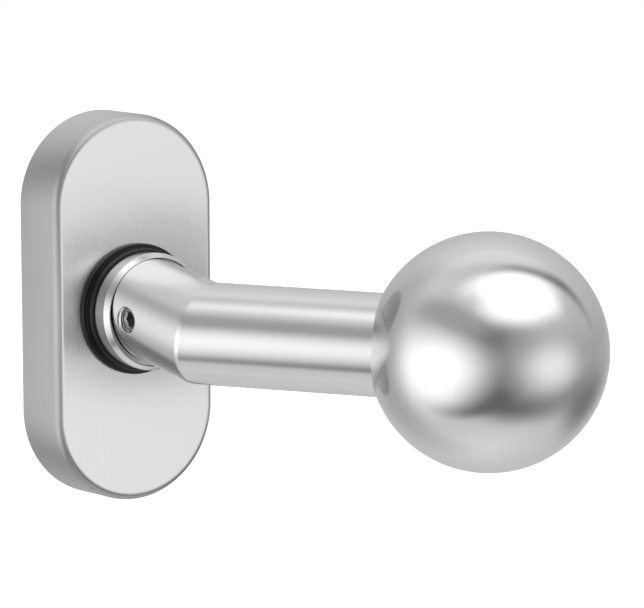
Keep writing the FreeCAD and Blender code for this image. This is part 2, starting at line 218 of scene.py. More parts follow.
def rounded(corners, closed=True, step=9.0):
    """A profile with rounded corners, from (across, along, radius of the corner).

    step is the most that one piece of an arc turns, in degrees. Straight runs get a point
    close to each end, so that shading stays flat between them."""
    most_of_run = 0.48
    least_run = 0.3
    end_margin = 0.1
    points = np.array([c[:2] for c in corners], float)
    radii = [c[2] if len(c) > 2 else 0.0 for c in corners]
    count = len(points)
    made = []
    for i in range(count):
        if not closed and i in (0, count - 1):
            made.append([points[i]])
            continue
        before = points[i - 1] - points[i]
        after = points[(i + 1) % count] - points[i]
        room = min(np.linalg.norm(before), np.linalg.norm(after)) * most_of_run
        before, after = unit(before), unit(after)
        turn = math.pi - math.acos(max(-1.0, min(1.0, float(before @ after))))
        if radii[i] <= 0 or turn < 1e-3:
            made.append([points[i]])
            continue
        reach = min(radii[i] * math.tan(turn / 2), room)
        radius = reach / math.tan(turn / 2)
        pieces = max(3, int(math.ceil(math.degrees(turn) / step)))
        first = points[i] + before * reach
        side = unit(after + before * math.cos(math.pi - turn) * -1)
        arc = []
        for k in range(pieces + 1):
            angle = turn * k / pieces
            inward = side * radius * (1 - math.cos(angle))
            arc.append(first - before * radius * math.sin(angle) + inward)
        made.append(arc)
    line = []
    for i in range(count):
        line.extend(made[i])
        if i == count - 1 and not closed:
            break
        end, start = np.array(made[i][-1]), np.array(made[(i + 1) % count][0])
        gap = np.linalg.norm(start - end)
        if gap > least_run:
            margin = min(end_margin, gap / 4) / gap
            line.append(end + (start - end) * margin)
            line.append(start - (start - end) * margin)
    if closed:
        line.append(line[0])
    return np.array(line)


def run_lengths(line):
    """Distance along a line of points."""
    return np.concatenate([[0], np.cumsum(np.linalg.norm(np.diff(line, axis=0), axis=1))])


def across_axis(axis):
    """Two directions that make a right-handed frame with the axis."""
    axis = unit(axis)
    helper = np.array([0.0, 0.0, 1.0]) if abs(axis[2]) < 0.9 else np.array([1.0, 0.0, 0.0])
    first = unit(np.cross(helper, axis))
    return first, np.cross(axis, first)


def turned(name, line, origin, axis, columns=COLUMNS, poles=(False, False)):
    """A surface of revolution. line holds (radius, distance along the axis) in millimetres.

    poles says whether its first and its last point lie on the axis, and close the surface."""
    line = np.asarray(line, float)
    first, second = across_axis(axis)
    angles = np.linspace(0, 2 * math.pi, columns, endpoint=False)
    ring = np.outer(np.cos(angles), first) + np.outer(np.sin(angles), second)
    body = line[1 if poles[0] else 0: len(line) - 1 if poles[1] else len(line)]
    rows = [origin + unit(axis) * along + ring * radius for radius, along in body]
    uv = strips(run_lengths(body), columns)
    ends = [None, None]
    if poles[0]:
        ends[0] = origin + unit(axis) * line[0][1]
    if poles[1]:
        ends[1] = origin + unit(axis) * line[-1][1]
    return skin(name, rows, uv, ends[0], ends[1])


THREAD_FORM = ((0.0, 0.0), (0.38, 1.0), (0.5, 1.0), (0.88, 0.0))      # share of pitch, height


def helix_rod(name, radius, pitch, depth, length, origin, axis, taper, columns):
    """A rod with a real screw thread and open ends. taper is how far each end is chamfered."""
    first, second = across_axis(axis)
    axis = unit(axis)
    angles = np.linspace(0, 2 * math.pi, columns + 1)
    spokes = np.outer(np.cos(angles), first) + np.outer(np.sin(angles), second)
    heights = []
    levels = []
    for turn in range(-2, int(length / pitch) + 3):
        for share, level in THREAD_FORM:
            heights.append((turn + share) * pitch)
            levels.append(level)
    chamfer = depth * 1.2
    vertices = []
    for height, level in zip(heights, levels):
        along = np.clip(height + pitch * angles / (2 * math.pi), 0, length)
        size = radius - depth * (1 - level)
        for reach, from_end in zip(taper, (along, length - along)):
            if reach:
                size = np.minimum(size, radius - chamfer + chamfer * from_end / reach)
        vertices.append(origin + np.outer(along, axis) + spokes * np.reshape(size, (-1, 1)))
    rows = np.array(vertices)
    count = len(rows)
    wide = columns + 1
    faces = []
    uv = []
    for i in range(count - 1):
        for j in range(columns):
            corners = ((i, j), (i, j + 1), (i + 1, j + 1), (i + 1, j))
            faces.append([a * wide + b for a, b in corners])
            uv.extend([heights[a], b / columns] for a, b in corners)
    return make_mesh(name, rows.reshape(-1, 3), faces, uv)


def thread_rod(*arguments):
    """A threaded rod whose ends are filled, with the arguments of helix_rod."""
    item = helix_rod(*arguments)
    work = bmesh.new()
    work.from_mesh(item.data)
    bmesh.ops.dissolve_degenerate(work, edges=work.edges, dist=1e-7)
    rim = [e for e in work.edges if e.is_boundary]
    bmesh.ops.holes_fill(work, edges=rim, sides=0)
    bmesh.ops.recalc_face_normals(work, faces=work.faces)
    work.to_mesh(item.data)
    work.free()
    item.data.shade_smooth()
    item.data.set_sharp_from_angle(angle=math.radians(30))
    return item


def hexagon(across_flats, start, axis, length):
    """A hexagonal prism, used as a cutter."""
    sides = 6
    first, second = across_axis(axis)
    radius = across_flats / 2 / math.cos(math.pi / sides)
    angles = np.linspace(0, 2 * math.pi, sides, endpoint=False)
    ring = (np.outer(np.cos(angles), first) + np.outer(np.sin(angles), second)) * radius
    end = start + unit(axis) * length
    rows = [start + ring, end + ring]
    return skin("key", rows, strips([0, length], sides), start, end, 20.0)


def corner_directions(mesh):
    """The shading direction at each corner of a mesh's faces."""
    found = np.zeros(len(mesh.loops) * 3)
    mesh.corner_normals.foreach_get("vector", found)
    return found.reshape(-1, 3)


def shading_at(mesh, directions, face, point):
    """The shading direction at a point of a face, from its corners, the nearest most."""
    total = Vector()
    for corner in face.loop_indices:
        place = mesh.vertices[mesh.loops[corner].vertex_index].co
        total += Vector(directions[corner]) * (1.0 / ((point - place).length_squared + 1e-14))
    return total.normalized()


def cut(item, *cutters):
    """Cuts the cutters out of a piece. Its old faces keep the shading of the uncut surface."""
    same_place = 2e-6
    same_way = 0.98
    small_face = 4e-3
    source = item.data
    places = [v.co[:] for v in source.vertices]
    tree = BVHTree.FromPolygons(places, [p.vertices[:] for p in source.polygons])
    directions = corner_directions(source)
    for cutter in cutters:
        modifier = item.modifiers.new("cut", "BOOLEAN")
        modifier.operation = "DIFFERENCE"
        modifier.solver = "EXACT"
        modifier.object = cutter
    bpy.context.view_layer.update()
    depsgraph = bpy.context.evaluated_depsgraph_get()
    evaluated = item.evaluated_get(depsgraph)
    made = bpy.data.meshes.new_from_object(evaluated, preserve_all_data_layers=True, depsgraph=depsgraph)
    item.modifiers.clear()
    item.data = made
    for cutter in cutters:
        bpy.data.objects.remove(cutter)
    made.shade_smooth()
    made.set_sharp_from_angle(angle=math.radians(28))
    wanted = corner_directions(made)
    for face in made.polygons:
        place, facing, found, distance = tree.find_nearest(face.center)
        if found is None or distance > same_place or facing.dot(face.normal) < same_way:
            continue
        for corner in face.loop_indices:
            point = made.vertices[made.loops[corner].vertex_index].co
            old = source.polygons[found]
            if len(face.vertices) <= 4 and (point - place).length < small_face:
                near = source.polygons[tree.find_nearest(point)[2]]
                if near.normal.dot(face.normal) > 0.9:
                    old = near
            wanted[corner] = shading_at(source, directions, old, point)
    made.normals_split_custom_set(wanted.tolist())
    return item


def joined(name, *items):
    """One object from several."""
    work = bmesh.new()
    for item in items:
        work.from_mesh(item.data)
    mesh = bpy.data.meshes.new(name)
    work.to_mesh(mesh)
    work.free()
    for item in items:
        bpy.data.objects.remove(item)
    mesh.shade_smooth()
    mesh.set_sharp_from_angle(angle=math.radians(30))
    made = bpy.data.objects.new(name, mesh)
    bpy.context.scene.collection.objects.link(made)
    return made


def finish_piece(item, body, node, material, edge_material=None):
    """Gives a piece its body and its material, and hides the CAD node that it stands for.

    edge_material goes on the faces that don't look out of the door."""
    item.data.materials.clear()
    item.data.materials.append(material)
    if edge_material:
        item.data.materials.append(edge_material)
        for face in item.data.polygons:
            face.material_index = 0 if face.normal.y < -0.95 else 1
    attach(item, body)
    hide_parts(node)
    return item


# ---- shader tools ----------------------------------------------------------------------------
class Graph:
    """Adds shader nodes to a tree and joins them."""

    def __init__(self, tree):
        self.tree = tree
        tree.nodes.clear()

    def feed(self, socket, value):
        """Joins a node or a socket to an input, or gives the input a plain value."""
        if isinstance(value, bpy.types.Node):
            self.tree.links.new(value.outputs[0], socket)
        elif isinstance(value, bpy.types.NodeSocket):
            self.tree.links.new(value, socket)
        else:
            socket.default_value = value

    def add(self, kind, inputs=None, **settings):
        node = self.tree.nodes.new(kind)
        for key, value in settings.items():
            setattr(node, key, value)
        for key, value in (inputs or {}).items():
            self.feed(node.inputs[key], value)
        return node

    def math(self, operation, first, second=0.0):
        return self.add("ShaderNodeMath", {0: first, 1: second}, operation=operation)

    def mean(self, first, share, second):
        """The average of two values, of which the first has the share given."""
        one = self.math("MULTIPLY", first, share)
        return self.math("ADD", one, self.math("MULTIPLY", second, 1 - share))

    def ramp(self, value, low, high, out_low=0.0, out_high=1.0, smooth=False):
        kind = "SMOOTHSTEP" if smooth else "LINEAR"
        inputs = {"Value": value, "From Min": low, "From Max": high}
        inputs.update({"To Min": out_low, "To Max": out_high})
        return self.add("ShaderNodeMapRange", inputs, interpolation_type=kind)

    def blend(self, share, first, second):
        """A colour between two. Sockets 0, 6, 7 and 2 are factor, A, B and result."""
        node = self.add("ShaderNodeMix", data_type="RGBA")
        for index, value in ((0, share), (6, first), (7, second)):
            self.feed(node.inputs[index], value)
        return node.outputs[2]

    def noise(self, vector, scale, detail=2.0, roughness=0.5):
        inputs = {"Vector": vector, "Scale": scale, "Detail": detail, "Roughness": roughness}
        return self.add("ShaderNodeTexNoise", inputs)


def grey(value, tint=(1.0, 1.0, 1.0)):
    """A grey colour, or one that the tint turns slightly warm or cold."""
    return (value * tint[0], value * tint[1], value * tint[2], 1.0)


def grain_vector(graph, kind, fine, coarse):
    """Coordinates for streaks: fine across the grain and coarse along it, per millimetre.

    kind is object for an even grain, linear for straight brushing, turned for brushing that
    runs round a piece."""
    if kind == "object":
        place = graph.add("ShaderNodeTexCoord").outputs["Object"]
        scale = (fine / MM,) * 3
        return graph.add("ShaderNodeVectorMath", {0: place, 1: scale}, operation="MULTIPLY")
    uv = graph.add("ShaderNodeUVMap", uv_map="grain")
    parts = graph.add("ShaderNodeSeparateXYZ", {0: uv})
    across = graph.math("MULTIPLY", parts.outputs[0], fine)
    if kind == "linear":
        along = graph.math("MULTIPLY", parts.outputs[1], coarse)
        return graph.add("ShaderNodeCombineXYZ", {0: across, 1: along})
    angle = graph.math("MULTIPLY", parts.outputs[1], 2 * math.pi)
    circle = coarse * GRAIN_RADIUS
    cosine = graph.math("MULTIPLY", graph.math("COSINE", angle), circle)
    sine = graph.math("MULTIPLY", graph.math("SINE", angle), circle)
    return graph.add("ShaderNodeCombineXYZ", {0: across, 1: cosine, 2: sine})


def metal(name, colour, roughness, kind="object", anisotropy=0.0, fine=6.0, coarse=0.12, depth=0.4,
          tint=(1.0, 1.0, 1.0), warm=(1.0, 1.0, 0.995), spread=0.12):
    """A metal finish. depth is the height of the streaks in micrometres, spread the share by
    which the roughness varies, and warm tints the darker parts of the streaks."""
    darker = 0.955
    lighter = 1.03
    patch = 0.05 / MM
    material = bpy.data.materials.new(name)
    material.use_nodes = True
    graph = Graph(material.node_tree)
    streaks = graph.noise(grain_vector(graph, kind, fine, coarse), 1.0, 3.0, 0.6)
    wide = graph.noise(grain_vector(graph, kind, fine / 5, coarse / 2), 1.0, 2.0, 0.5)
    place = graph.add("ShaderNodeTexCoord").outputs["Object"]
    uneven = graph.noise(place, patch, 3.0, 0.55)
    lines = graph.mean(streaks, 0.6, wide)
    shade = graph.ramp(graph.mean(lines, 0.5, uneven), 0.3, 0.7)
    low = grey(colour * darker, [t * w for t, w in zip(tint, warm)])
    high = grey(colour * lighter, tint)
    base = graph.blend(shade, low, high)
    smooth, dull = roughness * (1 - spread), roughness * (1 + spread)
    rough = graph.ramp(graph.mean(lines, 0.6, uneven), 0.3, 0.7, smooth, dull)
    bump = graph.add("ShaderNodeBump", {"Strength": 1.0, "Distance": depth * 1e-6, "Height": lines})
    inputs = {"Base Color": base, "Metallic": 1.0, "Roughness": rough, "Normal": bump}
    if anisotropy:
        inputs["Anisotropic"] = anisotropy
        inputs["Tangent"] = graph.add("ShaderNodeTangent", direction_type="UV_MAP", uv_map="grain")
    shader = graph.add("ShaderNodeBsdfPrincipled", inputs)
    graph.add("ShaderNodeOutputMaterial", {"Surface": shader})
    return material


def plastic(name, colour, roughness):
    """A moulded plastic with a fine skin, faint scuffs and a slightly uneven gloss."""
    skin_height = 1.5e-6
    skin_scale = 7.0 / MM
    scuff_scale = 0.6 / MM
    paler = 1.8
    material = bpy.data.materials.new(name)
    material.use_nodes = True
    graph = Graph(material.node_tree)
    place = graph.add("ShaderNodeTexCoord").outputs["Object"]
    skin_noise = graph.noise(place, skin_scale, 3.0, 0.6)
    scuffs = graph.noise(place, scuff_scale, 4.0, 0.7)
    mark = graph.ramp(scuffs, 0.52, 0.72)
    base = graph.blend(mark, grey(colour), grey(colour * paler, (1.0, 1.0, 0.98)))
    rough = graph.ramp(scuffs, 0.3, 0.7, roughness * 0.85, roughness * 1.2)
    bump = graph.add("ShaderNodeBump", {"Strength": 1.0, "Distance": skin_height, "Height": skin_noise})
    inputs = {"Base Color": base, "Roughness": rough, "Normal": bump, "IOR": 1.42}
    shader = graph.add("ShaderNodeBsdfPrincipled", inputs)
    graph.add("ShaderNodeOutputMaterial", {"Surface": shader})
    return material


# ---- materials ---------------------------------------------------------------------------------
# name, colour, roughness, kind of grain, anisotropy, fine and coarse grain, depth
face_steel = metal("satin_steel_face", 0.76, 0.27, "linear", 0.7, 5.0, 0.05, 0.2)
# the wall's steel is the face's steel with a darker colour, which is painted shade on the cover's wall,
# edge, hole and inner side; its rougher, more strongly brushed finish is real
wall_steel_painted_shade = metal("satin_steel_wall_painted_shade", 0.50, 0.44, "linear", 0.9, 5.0, 0.05, 0.2)
turned_steel = metal("satin_steel_turned", 0.66, 0.19, "turned", 0.5, 5.0, 0.06, 0.15)
collar_steel = metal("polished_steel_collar", 0.64, 0.18, "turned", 0.3, 6.0, 0.06, 0.15)
ball_steel = metal("satin_steel_ball", 0.66, 0.13, "turned", 0.0, 4.0, 0.08, 0.1)
screw_steel = metal("screw_steel", 0.42, 0.33, "object", 0.0, 3.0, 3.0, 0.8, spread=0.25)
plated_steel = metal("zinc_plated_steel", 0.58, 0.34, "object", 0.0, 1.2, 1.2, 1.2,
                     tint=(0.97, 0.99, 1.0), warm=(1.02, 1.0, 0.93), spread=0.3)
spring_steel = metal("spring_steel", 0.40, 0.30, "object", 0.0, 2.0, 2.0, 0.6, spread=0.3)
cast_zinc = metal("cast_zinc", 0.45, 0.52, "object", 0.0, 1.5, 1.5, 6.0,
                  tint=(0.97, 0.98, 1.0), spread=0.25)
black_acetal = plastic("black_acetal", 0.006, 0.30)
bearing_acetal = plastic("bearing_acetal", 0.55, 0.42)


# ---- rose cover ---------------------------------------------------------------------------------
def ring_at(radius, out, angles):
    """Points round the spindle axis. radius is a number, or one for each angle."""
    return np.stack([radius * np.cos(angles), np.full_like(angles, -out), radius * np.sin(angles)], -1)


def stadium_ring(inset, out, angles):
    """A stadium outline at one distance from the door, hit by rays from the middle."""
    half = ROSE_HALF_WIDTH - inset
    straight = ROSE_HALF_HEIGHT - ROSE_HALF_WIDTH
    cosine, sine = np.cos(angles), np.sin(angles)
    side = half / np.maximum(np.abs(cosine), 1e-9)
    end = straight * np.abs(sine) + np.sqrt(np.maximum(half ** 2 - (straight * cosine) ** 2, 0))
    radius = np.where(side * np.abs(sine) <= straight, side, end)
    return ring_at(radius, out, angles)


def make_cover():
    """The pressed shell: outer wall, edge, face, hole and the inner side of the sheet."""
    margin = 4.0
    edge = 0.1
    wall_row = 4           # its length round the rose sets the coordinates of the walls
    angles = np.linspace(0, 2 * math.pi, 480, endpoint=False)
    outline = rounded([
        (0.0, 0.0, 0.12),
        (ROSE_DRAFT, ROSE_DEPTH, ROSE_EDGE_RADIUS),
        (margin, ROSE_DEPTH, 0.0),
    ], closed=False, step=6.0)
    inner = rounded([
        (margin, ROSE_DEPTH - SHEET, 0.0),
        (ROSE_DRAFT + SHEET, ROSE_DEPTH - SHEET, ROSE_EDGE_RADIUS - SHEET),
        (SHEET, 0.0, 0.0),
    ], closed=False, step=15.0)
    back_edge = [(SHEET - edge, 0.0), (edge, 0.0), (0.03, 0.02)]
    rows = []
    flat = []
    for inset, out in back_edge + outline[1:].tolist():
        rows.append(stadium_ring(inset, out, angles))
        flat.append(inset > 0.9 and out > ROSE_DEPTH - 0.6)
    for share in (0.25, 0.5, 0.75):
        rows.append(stadium_ring(margin, ROSE_DEPTH, angles) * (1 - share)
                    + ring_at(COVER_HOLE + edge, ROSE_DEPTH, angles) * share)
        flat.append(True)
    for radius, out in (
        (COVER_HOLE + edge, ROSE_DEPTH), (COVER_HOLE, ROSE_DEPTH - edge), (COVER_HOLE, ROSE_DEPTH - SHEET),
    ):
        rows.append(ring_at(radius, out, angles))
        flat.append(True)
    for inset, out in inner:
        rows.append(stadium_ring(inset, out, angles))
        flat.append(out > ROSE_DEPTH - SHEET - edge)
    rows.append(rows[0])
    flat.append(False)
    flat[0] = False
    rows = np.array(rows)
    around = run_lengths(np.vstack([rows[wall_row], rows[wall_row][:1]]))
    along = run_lengths(rows[:, 0])
    uv = np.zeros((len(rows) - 1, 2, len(angles) + 1, 2))
    for i in range(len(rows) - 1):
        for side in (0, 1):
            if flat[i] and flat[i + 1]:
                row = np.vstack([rows[i + side], rows[i + side][:1]])
                uv[i, side] = row[:, [0, 2]]
            else:
                uv[i, side, :, 0] = along[i + side]
                uv[i, side, :, 1] = around
    return skin("cover_shell", rows, uv)


# ---- bush and collar -----------------------------------------------------------------------------
def make_bush():
    """The stepped bush: sleeve, barb behind the sheet, flange on the face, and nose."""
    sleeve_back = 9.8
    barb_front = 10.75
    flange_front = ROSE_DEPTH + BUSH_FLANGE_DEPTH
    nose_front = ROSE_DEPTH + BUSH_STANDS_OUT
    line = rounded([
        (BUSH_BORE, sleeve_back, 0.05), (BUSH_SLEEVE, sleeve_back, 0.1), (BUSH_NOSE, barb_front, 0.05),
        (BUSH_SLEEVE, barb_front, 0.0), (BUSH_SLEEVE, ROSE_DEPTH, 0.0), (BUSH_FLANGE, ROSE_DEPTH, 0.12),
        (BUSH_FLANGE, flange_front, 0.3), (BUSH_NOSE, flange_front, 0.12),
        (BUSH_NOSE, nose_front, 0.35), (BUSH_BORE, nose_front, 0.18),
    ])
    return turned("bush_ring", line, np.zeros(3), OUT)


def make_collar():
    """The ring on the journal: barrel, wider rim with a chamfer, and a groove round the neck."""
    bore = JOURNAL + CLEARANCE
    groove = COLLAR_FRONT - 0.4
    rim_front = COLLAR_FRONT - COLLAR_CHAMFER
    line = rounded([
        (bore, COLLAR_BACK, 0.1), (COLLAR, COLLAR_BACK, 0.25), (COLLAR, COLLAR_RIM_BACK, 0.0),
        (COLLAR_RIM, COLLAR_RIM_BACK, 0.12), (COLLAR_RIM, rim_front, 0.35), (COLLAR_NOSE, COLLAR_FRONT, 0.2),
        (COLLAR_NOSE - 0.2, groove, 0.0), (bore, groove, 0.0),
    ], step=6.0)
    return turned("collar_ring", line, np.zeros(3), OUT)


# ---- neck and arm --------------------------------------------------------------------------------
BEND_AXIS = unit(np.cross(NECK_DIRECTION, ARM_DIRECTION))
NECK_SIDE = np.cross(BEND_AXIS, NECK_DIRECTION)
ARM_SIDE = np.cross(BEND_AXIS, ARM_DIRECTION)
MITRE_NORMAL = unit(NECK_DIRECTION + ARM_DIRECTION)
BEND = math.acos(float(NECK_DIRECTION @ ARM_DIRECTION))
BLEND_STEPS = 24           # steps of the mitre's rounding, half of them on each piece


def spindle_angles(count):
    """Angles round the spindle axis, with the corners of the flats and of the square socket."""
    angles = list(np.linspace(0, 2 * math.pi, count, endpoint=False))
    special = []
    corner = math.acos(JOURNAL_FLAT / JOURNAL)
    groove_corner = math.acos(JOURNAL_FLAT / GROOVE)
    for base in (0, math.pi):
        special += [base + corner, base - corner, base + groove_corner, base - groove_corner]
    special += [math.pi / 4 + k * math.pi / 2 + SOCKET_TURN for k in range(4)]
    for value in special:
        value %= 2 * math.pi
        nearest = min(range(len(angles)), key=lambda i: abs(angles[i] - value))
        angles[nearest] = value
    return np.array(sorted(angles))


def neck_columns(angles, out):
    """Where rays from the spindle axis meet the leaning neck in the plane at one distance out."""
    found = []
    middle = OUT * out
    for angle in angles:
        ray = np.array([math.cos(angle), 0.0, math.sin(angle)])
        start = middle - MITRE
        ray_flat = ray - NECK_DIRECTION * (ray @ NECK_DIRECTION)
        start_flat = start - NECK_DIRECTION * (start @ NECK_DIRECTION)
        a = ray_flat @ ray_flat
        b = 2 * ray_flat @ start_flat
        c = start_flat @ start_flat - NECK_RADIUS ** 2
        reach = (-b + math.sqrt(b * b - 4 * a * c)) / (2 * a)
        found.append(middle + ray * reach)
    return np.array(found)


def mitre_ring(turns):
    """The mitre's edge at turns given round the neck: both cylinders pass through it."""
    spokes = np.outer(np.cos(turns), NECK_SIDE) + np.outer(np.sin(turns), BEND_AXIS)
    back = -(spokes @ MITRE_NORMAL) / (NECK_DIRECTION @ MITRE_NORMAL)
    return MITRE + NECK_RADIUS * (spokes + np.outer(back, NECK_DIRECTION))


def mitre_blend(share):
    """Offset from the mitre's edge, from 0 at the neck's end of the rounding to 1 at the arm's."""
    radius = MITRE_BLEND / math.tan(BEND / 2)
    towards = unit(ARM_DIRECTION - NECK_DIRECTION * (ARM_DIRECTION @ NECK_DIRECTION))
    angle = BEND * share
    return (NECK_DIRECTION * (radius * math.sin(angle) - MITRE_BLEND)
            + towards * radius * (1 - math.cos(angle)))


def journal_ring(radius, out, angles, flats):
    """A ring of the journal, cut off by its two flats or whole."""
    cosine = np.maximum(np.abs(np.cos(angles)), 1e-9)
    size = np.full_like(angles, radius)
    if flats:
        size = np.minimum(size, JOURNAL_FLAT / cosine)
    return ring_at(size, out, angles)


def socket_ring(half, out, angles):
    """A ring of the square socket, as wide as twice the half given."""
    local = angles - SOCKET_TURN
    size = half / np.maximum(np.abs(np.cos(local)), np.abs(np.sin(local)))
    return ring_at(size, out, angles)


def make_neck():
    """The neck from the mitre back to its root, the journal with its flats, and the socket."""
    angles = spindle_angles(COLUMNS)
    root = neck_columns(angles, COLLAR_FRONT)
    relative = root - MITRE
    turns = np.unwrap(np.arctan2(relative @ BEND_AXIS, relative @ NECK_SIDE))
    edge = mitre_ring(turns)
    rows = [edge + mitre_blend(k / BLEND_STEPS) for k in range(BLEND_STEPS // 2, -1, -1)]
    straight_end = rows[-1]
    for share in (0.03, 0.2, 0.4, 0.6, 0.8, 0.97):
        rows.append(straight_end * (1 - share) + root * share)
    rows.append(root)
    for radius, out, flats in (
        (JOURNAL, COLLAR_FRONT, False), (JOURNAL, FLATS_FRONT, False), (JOURNAL, FLATS_FRONT, True),
        (JOURNAL, GROOVE_FRONT, True), (GROOVE, GROOVE_FRONT, True), (GROOVE, GROOVE_BACK, True),
        (JOURNAL, GROOVE_BACK, True), (JOURNAL, JOURNAL_END + JOURNAL_CHAMFER, True),
        (JOURNAL - JOURNAL_CHAMFER, JOURNAL_END, True),
    ):
        rows.append(journal_ring(radius, out, angles, flats))
    rows.append(socket_ring(SOCKET_HALF + SOCKET_CHAMFER, JOURNAL_END, angles))
    rows.append(socket_ring(SOCKET_HALF, JOURNAL_END + SOCKET_CHAMFER, angles))
    rows.append(socket_ring(SOCKET_HALF, SOCKET_DEPTH, angles))
    whole_turn = 2 * math.pi * np.sign(turns[-1] - turns[0])
    around = np.append(turns, turns[0] + whole_turn) / (2 * math.pi)
    uv = column_strips(np.array(rows), around)
    neck = skin("neck_casting", rows, uv, MITRE, OUT * SOCKET_DEPTH)
    tap_start = OUT * GRUB_OUT + GRUB_DIRECTION * 3.2
    tap = thread_rod("tap", 2.52, SET_SCREW_PITCH, SET_SCREW_THREAD, 9.0, tap_start,
                     GRUB_DIRECTION, (0, 0), 64)
    return cut(neck, tap)


def make_arm():
    """The bar from the mitre to the ball, with the tapped hole in its end."""
    turns = np.linspace(0, 2 * math.pi, COLUMNS, endpoint=False)
    edge = mitre_ring(turns)
    ring = NECK_RADIUS * (np.outer(np.cos(turns), ARM_SIDE) + np.outer(np.sin(turns), BEND_AXIS))
    end = ARM_LENGTH - (BALL_RADIUS - ARM_INTO_BALL)
    rows = [edge + mitre_blend(k / BLEND_STEPS) for k in range(BLEND_STEPS // 2, BLEND_STEPS + 1)]
    straight = rows[-1]
    last = MITRE + ARM_DIRECTION * (end - ARM_CHAMFER) + ring
    for share in (0.01, 0.25, 0.5, 0.75, 0.99, 1.0):
        rows.append(straight * (1 - share) + last * share)
    bottom = MITRE + ARM_DIRECTION * (end - ARM_HOLE_DEPTH)
    rows.append(MITRE + ARM_DIRECTION * end + ring * 0.9667)
    rows.append(MITRE + ARM_DIRECTION * end + ring * ARM_HOLE)
    rows.append(bottom + ring * ARM_HOLE)
    uv = column_strips(np.array(rows), np.linspace(0, 1, COLUMNS + 1))
    return skin("arm_bar", rows, uv, MITRE, bottom)


def make_ball():
    """The hollow ball, turned about the arm, with the opening that the arm goes into."""
    outer_steps = 96
    inner_steps = 40
    outer = []
    opening = math.asin(BALL_OPENING / BALL_RADIUS)
    for k in range(outer_steps):
        angle = opening + (math.pi - opening) * k / outer_steps
        outer.append((BALL_RADIUS * math.sin(angle), -BALL_RADIUS * math.cos(angle)))
    outer.append((0.0, BALL_RADIUS))
    inner_radius = BALL_RADIUS - BALL_WALL
    inner_opening = math.asin(BALL_OPENING / inner_radius)
    inner = [(0.0, inner_radius)]
    for k in range(1, inner_steps + 1):
        angle = math.pi - (math.pi - inner_opening) * k / inner_steps
        inner.append((inner_radius * math.sin(angle), -inner_radius * math.cos(angle)))
    mouth = outer[0][1]
    edge = [(BALL_OPENING, mouth + 0.12), (BALL_OPENING + 0.05, mouth + 0.03)]
    line = np.array(inner + edge + outer[1:])
    return turned("ball_shell", line, BALL_CENTRE, ARM_DIRECTION, COLUMNS, (True, True))


# ---- screws and springs --------------------------------------------------------------------------
def make_grub_screw():
    """The set screw: thread, hexagon socket and the socket's lead-in."""
    length = 3.9
    start = OUT * GRUB_OUT + GRUB_DIRECTION * 4.05
    thread = thread_rod("set_screw", 2.47, SET_SCREW_PITCH, SET_SCREW_THREAD, length, start,
                        GRUB_DIRECTION, (0.35, 0.3), 64)
    key = hexagon(2.5, start + GRUB_DIRECTION * 1.6, GRUB_DIRECTION, 5.0)
    cone = [(0.0, 3.5), (1.25, 3.5), (1.75, 4.0), (0.0, 4.0)]
    lead = turned("lead", cone, start, GRUB_DIRECTION, 48, (True, True))
    return cut(thread, key, lead)


def make_fixing_screw(name, height):
    """An M5 countersunk screw with a 3 mm hexagon socket, out of the door through the base."""
    origin = np.array([0.0, 0.0, height])
    shank_radius = 2.3
    head = turned(name + "_head", rounded([
        (0.0, 7.2, 0.0), (shank_radius, 7.2, 0.0), (shank_radius, 7.75, 0.2), (4.6, 9.75, 0.1),
        (4.55, 9.95, 0.08), (0.0, 9.95, 0.0),
    ], closed=False), origin, OUT, 96, (True, True))
    key = hexagon(3.0, origin + OUT * 8.2, OUT, 3.0)
    cone = [(0.0, 9.7), (1.5, 9.7), (1.85, 10.1), (0.0, 10.1)]
    lead = turned("lead", cone, origin, OUT, 48, (True, True))
    head = cut(head, key, lead)
    plain = [(0.0, -0.4), (shank_radius, -0.4), (shank_radius, 7.4), (0.0, 7.4)]
    shank = turned(name + "_shank", plain, origin, OUT, 96, (True, True))
    length = 12.6
    thread = thread_rod(name + "_thread", 2.5, 0.8, 0.45, length, origin - OUT * length, OUT, (0.6, 0.3), 72)
    return joined(name, head, shank, thread)


def make_plate_screw(name, x, z):
    """A small countersunk screw with a cross recess that narrows towards its bottom."""
    origin = np.array([x, 0.0, z])
    head = turned(name + "_head", rounded([
        (0.0, 0.05, 0.0), (2.25, 0.05, 0.06), (2.3, 0.12, 0.04), (1.25, 1.0, 0.1), (1.25, 1.2, 0.0),
        (0.0, 1.2, 0.0),
    ], closed=False), origin, OUT, 96, (True, True))
    corners = ((1, 1), (-1, 1), (-1, -1), (1, -1))
    cutters = []
    for turn in (0.0, math.pi / 2):
        first = np.array([math.cos(turn), 0.0, math.sin(turn)])
        second = np.array([-math.sin(turn), 0.0, math.cos(turn)])
        mouth = origin + OUT * -0.2
        bottom = origin + OUT * 0.72
        wide = [mouth + first * a * 1.5 + second * b * 0.3 for a, b in corners]
        narrow = [bottom + first * a * 0.75 + second * b * 0.2 for a, b in corners]
        cutters.append(skin("slot", [wide, narrow], strips([0, 1], 4), mouth, bottom, 20.0))
    head = cut(head, *cutters)
    thread = thread_rod(name + "_thread", 1.25, 0.5, 0.25, 4.9, origin + OUT * 0.9, OUT, (0.2, 0.5), 48)
    return joined(name, head, thread)


